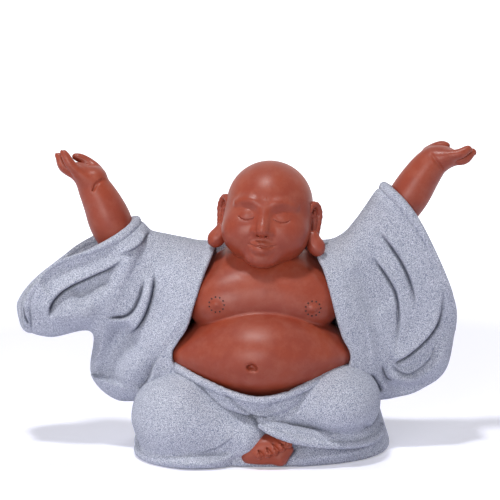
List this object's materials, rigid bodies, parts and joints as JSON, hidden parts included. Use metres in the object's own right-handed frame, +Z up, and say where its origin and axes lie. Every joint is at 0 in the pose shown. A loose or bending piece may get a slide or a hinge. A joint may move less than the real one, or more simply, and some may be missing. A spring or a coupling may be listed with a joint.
{
  "type": "seated figurine",
  "caption": "Ceramic figurine of a seated laughing monk with raised arms, bare belly and wide open robe, standing flat on its own base.",
  "frame": {"origin": "middle of the flat underside", "axes": "+Z up, -Y the way the figure faces, +X to the right of someone facing the figure"},
  "size_m": [0.22, 0.0952, 0.1496],
  "materials": {
    "skin": "satin",
    "robe": "matte",
    "base": "matte"
  },
  "bodies": {
    "root": {"torso": "skin", "head": "skin", "left_ear": "skin", "right_ear": "skin", "left_forearm": "skin", "right_forearm": "skin", "foot": "skin", "left_knee_drape": "robe", "right_knee_drape": "robe", "sash": "robe", "hem_roll": "robe", "left_cuff": "robe", "right_cuff": "robe", "left_sleeve": "robe", "right_sleeve": "robe", "robe_back": "robe", "seat": "robe", "base_plate": "base"}
  },
  "joints": []
}
